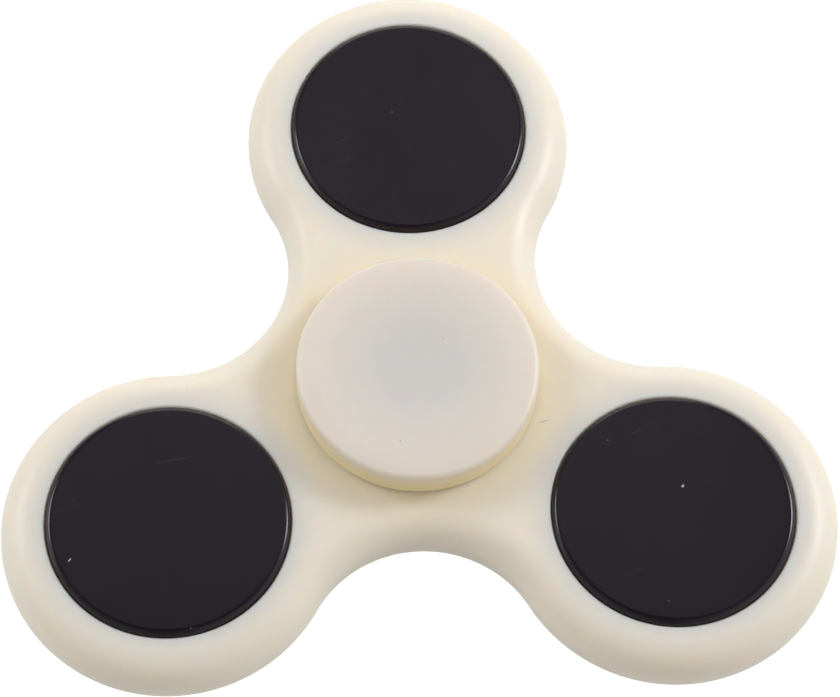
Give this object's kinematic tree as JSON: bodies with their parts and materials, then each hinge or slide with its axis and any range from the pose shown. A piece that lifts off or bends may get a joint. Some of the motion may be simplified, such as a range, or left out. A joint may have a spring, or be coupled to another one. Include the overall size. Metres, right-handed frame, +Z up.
{
  "type": "fidget spinner",
  "caption": "Flat three-lobed spinner with a round steel weight in each lobe, turning on a shielded ball bearing between two slightly dished finger caps.",
  "frame": {"origin": "centre of the ball bearing, on the spin axis at the body's middle plane", "axes": "+Z up along the spin axis, +Y from the spin axis towards the centre of one lobe, +X across the other two"},
  "size_m": [0.0758, 0.0697, 0.014],
  "materials": {
    "body_plastic": "satin moulded, slightly translucent ivory",
    "cap_plastic": "fine matte moulded, ivory with a pink cast",
    "weight_coating": "gloss black over steel, with fine scratches",
    "bearing_steel": "ground",
    "ball_steel": "polished",
    "cage_steel": "pressed sheet",
    "shield_steel": "pressed sheet"
  },
  "bodies": {
    "hub": {"cap_top": "cap_plastic", "cap_bottom": "cap_plastic", "bearing_inner_ring": "bearing_steel"},
    "rotor": {"body": "body_plastic", "weight_a": "weight_coating", "weight_b": "weight_coating", "weight_c": "weight_coating", "bearing_outer_ring": "bearing_steel", "shield_top": "shield_steel", "shield_bottom": "shield_steel", "snap_ring_top": "shield_steel", "snap_ring_bottom": "shield_steel"},
    "cage": {"cage_upper_half": "cage_steel", "cage_lower_half": "cage_steel"},
    "ball_1": {"bearing_ball_1": "ball_steel"},
    "ball_2": {"bearing_ball_2": "ball_steel"},
    "ball_3": {"bearing_ball_3": "ball_steel"},
    "ball_4": {"bearing_ball_4": "ball_steel"},
    "ball_5": {"bearing_ball_5": "ball_steel"},
    "ball_6": {"bearing_ball_6": "ball_steel"},
    "ball_7": {"bearing_ball_7": "ball_steel"}
  },
  "joints": [
    {"name": "spin", "type": "hinge", "parent": "hub", "child": "rotor", "pos_m": [0, 0, 0], "axis": [0, 0, 1], "continuous": true},
    {"name": "cage_spin", "type": "hinge", "parent": "hub", "child": "cage", "pos_m": [0, 0, 0], "axis": [0, 0, 1], "continuous": true},
    {"name": "ball_1_roll", "type": "hinge", "parent": "cage", "child": "ball_1", "pos_m": [0.00675, 0, 0], "axis": [0, 0, 1], "continuous": true},
    {"name": "ball_2_roll", "type": "hinge", "parent": "cage", "child": "ball_2", "pos_m": [0.00421, 0.00528, 0], "axis": [0, 0, 1], "continuous": true},
    {"name": "ball_3_roll", "type": "hinge", "parent": "cage", "child": "ball_3", "pos_m": [-0.0015, 0.00658, 0], "axis": [0, 0, 1], "continuous": true},
    {"name": "ball_4_roll", "type": "hinge", "parent": "cage", "child": "ball_4", "pos_m": [-0.00608, 0.00293, 0], "axis": [0, 0, 1], "continuous": true},
    {"name": "ball_5_roll", "type": "hinge", "parent": "cage", "child": "ball_5", "pos_m": [-0.00608, -0.00293, 0], "axis": [0, 0, 1], "continuous": true},
    {"name": "ball_6_roll", "type": "hinge", "parent": "cage", "child": "ball_6", "pos_m": [-0.0015, -0.00658, 0], "axis": [0, 0, 1], "continuous": true},
    {"name": "ball_7_roll", "type": "hinge", "parent": "cage", "child": "ball_7", "pos_m": [0.00421, -0.00528, 0], "axis": [0, 0, 1], "continuous": true}
  ],
  "couplings": [
    {"joint": "cage_spin", "follows": "spin", "ratio": 0.6176},
    {"joint": "ball_1_roll", "follows": "spin", "ratio": 2.0084},
    {"joint": "ball_2_roll", "follows": "spin", "ratio": 2.0084},
    {"joint": "ball_3_roll", "follows": "spin", "ratio": 2.0084},
    {"joint": "ball_4_roll", "follows": "spin", "ratio": 2.0084},
    {"joint": "ball_5_roll", "follows": "spin", "ratio": 2.0084},
    {"joint": "ball_6_roll", "follows": "spin", "ratio": 2.0084},
    {"joint": "ball_7_roll", "follows": "spin", "ratio": 2.0084}
  ]
}
